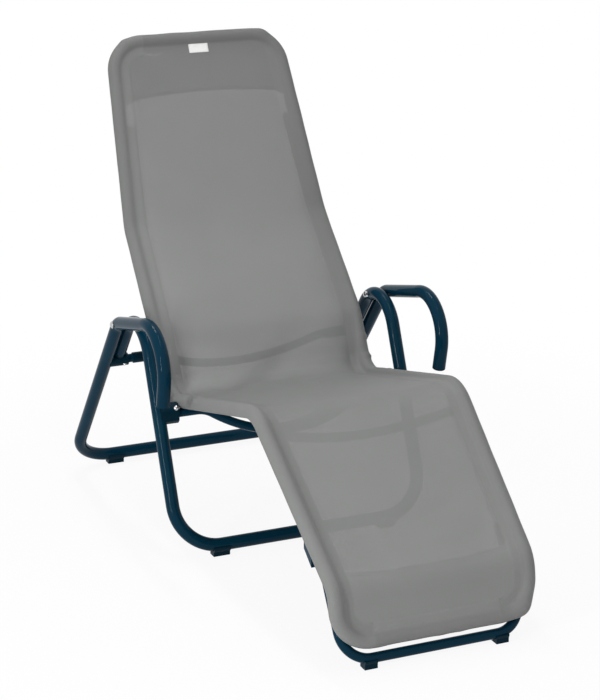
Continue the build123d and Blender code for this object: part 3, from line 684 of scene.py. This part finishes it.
def on_panel(row, share):
    """Place and normal on the panel, at a row with its fraction and a share of its half width."""
    column = (share + 1) / 2 * (COLUMNS - 1)
    i, j = min(int(row), ROWS - 2), min(int(column), COLUMNS - 2)
    a, b = row - i, column - j
    low = panel[i, j] * (1 - b) + panel[i, j + 1] * b
    high = panel[i + 1, j] * (1 - b) + panel[i + 1, j + 1] * b
    return low * (1 - a) + high * a, normals[i]


def row_below_head(distance):
    return float(np.interp(-distance, -below_head, np.arange(ROWS)))


def row_above_foot(distance):
    return float(np.interp(distance, above_foot, np.arange(ROWS)))


def panel_stitch(first, second):
    """One stitch between two places of the panel, lying on the cloth."""
    (start, up), (end, _) = on_panel(*first), on_panel(*second)
    return start + up * STITCH_LIFT, end + up * STITCH_LIFT, up


def side_hem_runs():
    """Stitches of the two side hems."""
    found = []
    low, high = row_above_foot(FOOT_POCKET), row_below_head(HEM_START)
    start_at, end_at = np.interp([low, high], np.arange(ROWS), row_length)
    for side in (-1, 1):
        for inset in HEM_SEAM_SHARES:
            share = side * (1 - inset)
            at = start_at
            while at < end_at:
                rows = np.interp([at, at + STITCH_LENGTH], row_length, np.arange(ROWS))
                found.append(panel_stitch((rows[0], share), (rows[1], share)))
                at += STITCH_PITCH
    return found


def pocket_edge_runs():
    """Stitches along the edges of the head and foot pockets."""
    found = []
    for pocket, row_of in ((HEAD_POCKET, row_below_head), (FOOT_POCKET, row_above_foot)):
        for inset in POCKET_SEAM_INSETS:
            for x in np.arange(-POCKET_HALF, POCKET_HALF, STITCH_PITCH):
                ends = []
                for place in (x, x + STITCH_LENGTH):
                    row = row_of(pocket - bow_at(place) - inset)
                    ends.append((row, place / edges[int(row)][0]))
                if max(abs(share) for _, share in ends) < 1:
                    found.append(panel_stitch(*ends))
    return found


hem_stitches = stitch_mesh("hem_stitches", side_hem_runs() + pocket_edge_runs(), STITCH_R)
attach(hem_stitches, "shell")

# Top of the head sleeve, which the label follows
top_profile = ring_profile(1.0, PANEL_H - HEM_DROP, PANEL_H, 1.0, 0.0)[:TOP_POINTS]
top_d, top_h = np.array([(SEAM_D, PANEL_H)] + top_profile)[::-1].T


def on_label(u, v, lift):
    """Place on the label from its middle, following the cloth under it."""
    d = LABEL_TOP + LABEL_HIGH / 2 - v
    edge = max(abs(2 * u / LABEL_WIDE), abs(2 * v / LABEL_HIGH))
    puff = LABEL_PUFF * (1 - edge ** 4) + LABEL_RIPPLE * math.sin(u / 5.3) * math.cos(v / 4.1)
    off_cloth = CLOTH / 2 + LABEL_THICK / 2 + LABEL_GAP
    height = float(np.interp(d, top_d, top_h)) + off_cloth + puff + lift
    return places[-1] * SIDE_VIEW + X_WAY * (LABEL_X + u) - head_run * d + normals[-1] * height


def label_points():
    """Grid of the label, with its corners drawn in a little."""
    points = []
    for a in np.linspace(-1, 1, LABEL_ROWS):
        for b in np.linspace(-1, 1, LABEL_COLUMNS):
            pull = 1 - LABEL_CORNER / LABEL_HIGH * (abs(a) * abs(b)) ** 24
            points.append(tuple(on_label(b * LABEL_WIDE / 2 * pull, a * LABEL_HIGH / 2 * pull, 0.0)))
    return points


def label_runs():
    """Stitches along the four sides of the label."""
    half_u, half_v = LABEL_WIDE / 2 - LABEL_SEAM, LABEL_HIGH / 2 - LABEL_SEAM
    ends = []
    for u in np.arange(-half_u, half_u - 1.5, LABEL_STITCH_PITCH):
        ends += [((u, v), (u + LABEL_STITCH_LENGTH, v)) for v in (-half_v, half_v)]
    for v in np.arange(-half_v + 1.0, half_v - 2.0, LABEL_STITCH_PITCH):
        ends += [((u, v), (u, v + LABEL_STITCH_LENGTH)) for u in (-half_u, half_u)]
    return [(on_label(*start, LABEL_STITCH_LIFT), on_label(*end, LABEL_STITCH_LIFT), normals[-1])
            for start, end in ends]


label = new_object("blank_label", label_points(), grid_faces(LABEL_ROWS, LABEL_COLUMNS))
thicken(label, LABEL_THICK)
apply_modifiers(label)
face_outward(label.data)
label_stitches = stitch_mesh("label_stitches", label_runs(), LABEL_STITCH_R)
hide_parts("label")
for piece in (label, label_stitches):
    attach(piece, "shell")


# Materials. Sizes in them are in metres.
GLOSS = "Specular IOR Level"
WAVE_UNIT = 20.0


class Surface:
    """A material with its nodes, and short ways to give it noise, colours and relief."""

    def __init__(self, name, levels):
        self.material = bpy.data.materials.new(name)
        self.material.use_nodes = True
        self.nodes = self.material.node_tree.nodes
        self.links = self.material.node_tree.links
        self.shader = self.nodes["Principled BSDF"]
        for socket, level in levels.items():
            self.shader.inputs[socket].default_value = level

    def place(self):
        """Place on the object in metres."""
        return self.nodes.new("ShaderNodeTexCoord").outputs["Object"]

    def stored(self, name, output):
        """Value that is stored on the mesh's points."""
        node = self.nodes.new("ShaderNodeAttribute")
        node.attribute_name = name
        return node.outputs[output]

    def noise(self, place, scale, detail=2.0):
        node = self.nodes.new("ShaderNodeTexNoise")
        node.inputs["Scale"].default_value = scale
        node.inputs["Detail"].default_value = detail
        self.links.new(place, node.inputs["Vector"])
        return node.outputs["Fac"]

    def wave(self, place, direction, scale):
        node = self.nodes.new("ShaderNodeTexWave")
        node.bands_direction = direction
        node.inputs["Scale"].default_value = scale
        self.links.new(place, node.inputs["Vector"])
        return node.outputs["Fac"]

    def spread(self, value, low, high):
        """Value from none to one, spread from a low to a high level."""
        node = self.nodes.new("ShaderNodeMapRange")
        node.inputs["To Min"].default_value = low
        node.inputs["To Max"].default_value = high
        self.links.new(value, node.inputs["Value"])
        return node

    def tint(self, share, dark, light):
        """Colour between a dark and a light one."""
        ramp = self.nodes.new("ShaderNodeValToRGB")
        ramp.color_ramp.elements[0].color = (*dark, 1)
        ramp.color_ramp.elements[1].color = (*light, 1)
        self.links.new(share, ramp.inputs["Fac"])
        return ramp.outputs["Color"]

    def relief(self, height, strength, distance):
        """Fine relief of the surface, too small for the mesh."""
        bump = self.nodes.new("ShaderNodeBump")
        bump.inputs["Strength"].default_value = strength
        bump.inputs["Distance"].default_value = distance
        self.links.new(height, bump.inputs["Height"])
        self.feed("Normal", bump.outputs["Normal"])

    def feed(self, socket, value):
        self.links.new(value, self.shader.inputs[socket])


def cloth_material():
    """Plastic-coated mesh cloth with a small open hole between its threads."""
    cloth = Surface("mesh_cloth", {"Roughness": 0.62, GLOSS: 0.3})
    place = cloth.stored("cloth_way", "Vector")
    colour = cloth.tint(cloth.noise(place, 9.0, 5.0), (0.200, 0.205, 0.200), (0.220, 0.225, 0.220))
    # The cloth's colour is scaled by its painted light and shade
    colour_with_painted_shading = cloth.nodes.new("ShaderNodeVectorMath")
    colour_with_painted_shading.operation = "SCALE"
    cloth.links.new(colour, colour_with_painted_shading.inputs[0])
    cloth.links.new(cloth.stored("painted_cloth_shading", "Fac"), colour_with_painted_shading.inputs["Scale"])
    cloth.feed("Base Color", colour_with_painted_shading.outputs["Vector"])
    weave = cloth.nodes.new("ShaderNodeMath")
    weave.operation = "MULTIPLY"
    threads = math.tau / WAVE_UNIT / (MESH_PITCH * MM)
    for socket, direction in zip(weave.inputs, ("X", "Y")):
        cloth.links.new(cloth.wave(place, direction, threads), socket)
    cloth.relief(weave.outputs[0], 0.25, 0.0003)
    holes = cloth.spread(weave.outputs[0], 1.0, 0.0)
    holes.inputs["From Min"].default_value = 0.79
    holes.inputs["From Max"].default_value = 0.87
    cloth.feed("Alpha", holes.outputs["Result"])
    return cloth.material


def paint_material():
    """Glossy dark petrol enamel with a faint orange-peel surface."""
    paint = Surface("petrol_enamel", {"Roughness": 0.06, GLOSS: 0.06})
    place = paint.place()
    tone = paint.noise(place, 14.0, 4.0)
    paint.feed("Base Color", paint.tint(tone, (0.001, 0.020, 0.040), (0.002, 0.032, 0.058)))
    paint.relief(paint.noise(place, 450.0), 0.12, 0.0002)
    return paint.material


def moulded_material(name, dark, light, roughness, gloss=0.5):
    """Moulded plastic with a fine grain."""
    plastic = Surface(name, {"Roughness": roughness, GLOSS: gloss})
    place = plastic.place()
    plastic.feed("Base Color", plastic.tint(plastic.noise(place, 40.0, 6.0), dark, light))
    plastic.relief(plastic.noise(place, 1600.0), 0.2, 0.0002)
    return plastic.material


def steel_material(name, roughness):
    """Plated steel with fine turning marks."""
    steel = Surface(name, {"Metallic": 1.0})
    marks = steel.noise(steel.place(), 300.0, 4.0)
    steel.feed("Base Color", steel.tint(marks, (0.40, 0.40, 0.41), (0.64, 0.64, 0.65)))
    rough = steel.spread(marks, roughness * 0.7, roughness * 1.3)
    steel.feed("Roughness", rough.outputs["Result"])
    return steel.material


def label_material():
    """White ribbon with a fine tight weave, slightly greyed."""
    ribbon = Surface("label_ribbon", {"Roughness": 0.75})
    place = ribbon.place()
    tone = ribbon.noise(place, 120.0, 5.0)
    ribbon.feed("Base Color", ribbon.tint(tone, (0.76, 0.76, 0.75), (0.88, 0.88, 0.87)))
    ribbon.relief(ribbon.wave(place, "X", 500.0), 0.3, 0.0001)
    return ribbon.material


mesh_cloth = cloth_material()
enamel = paint_material()
blue_moulding = moulded_material("blue_moulding", (0.001, 0.012, 0.023), (0.001, 0.020, 0.034), 0.4, 0.06)
black_moulding = moulded_material("black_moulding", (0.012, 0.012, 0.013), (0.022, 0.022, 0.023), 0.45)
bright_steel = steel_material("bright_steel", 0.18)
plain_steel = steel_material("plain_steel", 0.35)
hem_thread = moulded_material("hem_thread", (0.21, 0.215, 0.21), (0.27, 0.275, 0.27), 0.6)
label_ribbon = label_material()
label_thread = moulded_material("label_thread", (0.5, 0.5, 0.49), (0.62, 0.62, 0.61), 0.7)

FINISHES = [
    (enamel, ["front_frame", "rear_frame", "rear_crossbar", "back_frame", "leg_frame", "seat_crossbar",
              "knee_crossbar", "foot_frame", "foot_bracket"]),
    (blue_moulding, ["pivot_block", "rear_pad", "front_pad", "foot_pad", "hook_plug", "armrest_cap",
                     "crossbar_sleeve", "tilt_buffer", "foot_arm_plug"]),
    (black_moulding, ["pivot_bush", "fold_spacer"]),
    (bright_steel, ["fold_bolts", "fold_nuts", "block_bolts", "hinge_pins", "sleeve_screws"]),
    (plain_steel, ["frame_joiner"]),
    (label_ribbon, ["label"]),
    (mesh_cloth, ["sling"]),
]


def finish_nodes():
    """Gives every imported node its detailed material."""
    finish = {key: material for material, keys in FINISHES for key in keys}
    for name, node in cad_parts.items():
        key = name.removesuffix("_left").removesuffix("_right")
        for slot in node.material_slots:
            slot.link = "OBJECT"
            slot.material = finish[key]


finish_nodes()
for piece, material in ((sling, mesh_cloth), (hem_stitches, hem_thread), (label, label_ribbon),
                        (label_stitches, label_thread)):
    piece.data.materials.clear()
    piece.data.materials.append(material)

# Floor, light and background, in metres
FLOOR_REACH = 30.0
FLOOR_GREY = (0.86, 0.86, 0.86, 1)
GLOW_FROM = 0.7
GLOW_TO = 1.9
GLOW_LEAST = 0.91
WHITE = (1, 1, 1, 1)
SKY_STRENGTH = 0.55
# Lamps as (name, place, what it points at, size, power)
LAMPS = [
    ("key", (-3.0, -1.65, 1.1), (0, -0.1, 0.45), (0.1, 1.6), 56),
    ("top", (-0.1, -0.4, 2.5), (0, 0, 0.35), (0.08, 1.1), 8),
    ("rear_top", (-0.1, 1.2, 3.5), (0, 0, 0.35), (0.16, 1.4), 31),
    ("side", (2.6, -1.4, 2.4), (0, 0, 0.5), (0.06, 1.6), 3),
]
CAMERA_PLACE = (-1.7673, -3.9942, 1.8123)
CAMERA_DOWN = 17.33
CAMERA_TURN = -23.77
SENSOR_WIDTH = 36.0
LENS = 106.6


def see_white(nodes, links):
    """One for the camera, mirrors and clear glass, and zero for other light."""
    path = nodes.new("ShaderNodeLightPath")
    seen = path.outputs["Is Camera Ray"]
    for ray in ("Is Glossy Ray", "Is Transmission Ray"):
        either = nodes.new("ShaderNodeMath")
        either.operation = "MAXIMUM"
        links.new(seen, either.inputs[0])
        links.new(path.outputs[ray], either.inputs[1])
        seen = either.outputs[0]
    return seen


def show_mix(nodes, links, share, first, second, output):
    """Shows a mix of two shaders by a share."""
    mix = nodes.new("ShaderNodeMixShader")
    links.new(share, mix.inputs["Fac"])
    links.new(first.outputs[0], mix.inputs[1])
    links.new(second.outputs[0], mix.inputs[2])
    links.new(mix.outputs[0], nodes.new(output).inputs["Surface"])


def floor_material():
    """Pale floor that keeps the shadow and goes over into the white background."""
    material = bpy.data.materials.new("pale_floor")
    material.use_nodes = True
    nodes, links = material.node_tree.nodes, material.node_tree.links
    nodes.clear()
    diffuse = nodes.new("ShaderNodeBsdfDiffuse")
    diffuse.inputs["Color"].default_value = FLOOR_GREY
    far = nodes.new("ShaderNodeVectorMath")
    far.operation = "LENGTH"
    links.new(nodes.new("ShaderNodeNewGeometry").outputs["Position"], far.inputs[0])
    fade = nodes.new("ShaderNodeMapRange")
    fade.interpolation_type = "SMOOTHSTEP"
    fade.inputs["From Min"].default_value = GLOW_FROM
    fade.inputs["From Max"].default_value = GLOW_TO
    fade.inputs["To Min"].default_value = GLOW_LEAST
    links.new(far.outputs["Value"], fade.inputs["Value"])
    share = nodes.new("ShaderNodeMath")
    share.operation = "MULTIPLY"
    links.new(see_white(nodes, links), share.inputs[0])
    links.new(fade.outputs["Result"], share.inputs[1])
    glow = nodes.new("ShaderNodeEmission")
    show_mix(nodes, links, share.outputs[0], diffuse, glow, "ShaderNodeOutputMaterial")
    return material


def white_world():
    """White background, with a softer light of its own on the lounger."""
    world = bpy.data.worlds.new("studio")
    world.use_nodes = True
    nodes, links = world.node_tree.nodes, world.node_tree.links
    nodes.clear()
    light, seen = nodes.new("ShaderNodeBackground"), nodes.new("ShaderNodeBackground")
    for background in (light, seen):
        background.inputs["Color"].default_value = WHITE
    light.inputs["Strength"].default_value = SKY_STRENGTH
    show_mix(nodes, links, see_white(nodes, links), light, seen, "ShaderNodeOutputWorld")
    return world


def add_lamp(name, place, target, size, power):
    light = bpy.data.lights.new(name, "AREA")
    light.shape = "RECTANGLE"
    light.size, light.size_y = size
    light.energy = power
    holder = put_in_scene(name, light)
    holder.location = place
    holder.rotation_euler = (Vector(target) - Vector(place)).to_track_quat("-Z", "Y").to_euler()


bpy.ops.mesh.primitive_plane_add(size=2 * FLOOR_REACH)
floor = bpy.context.object
floor.name = "floor"
floor.data.materials.append(floor_material())

bpy.context.scene.world = white_world()
for lamp in LAMPS:
    add_lamp(*lamp)

camera_data = bpy.data.cameras.new("camera")
camera_data.sensor_width = SENSOR_WIDTH
camera_data.lens = LENS
camera_data.clip_end = 100.0
camera = put_in_scene("camera", camera_data)
camera.location = CAMERA_PLACE
camera.rotation_euler = (math.radians(90 - CAMERA_DOWN), 0.0, math.radians(CAMERA_TURN))
bpy.context.scene.camera = camera
bpy.context.scene.view_settings.view_transform = "Standard"
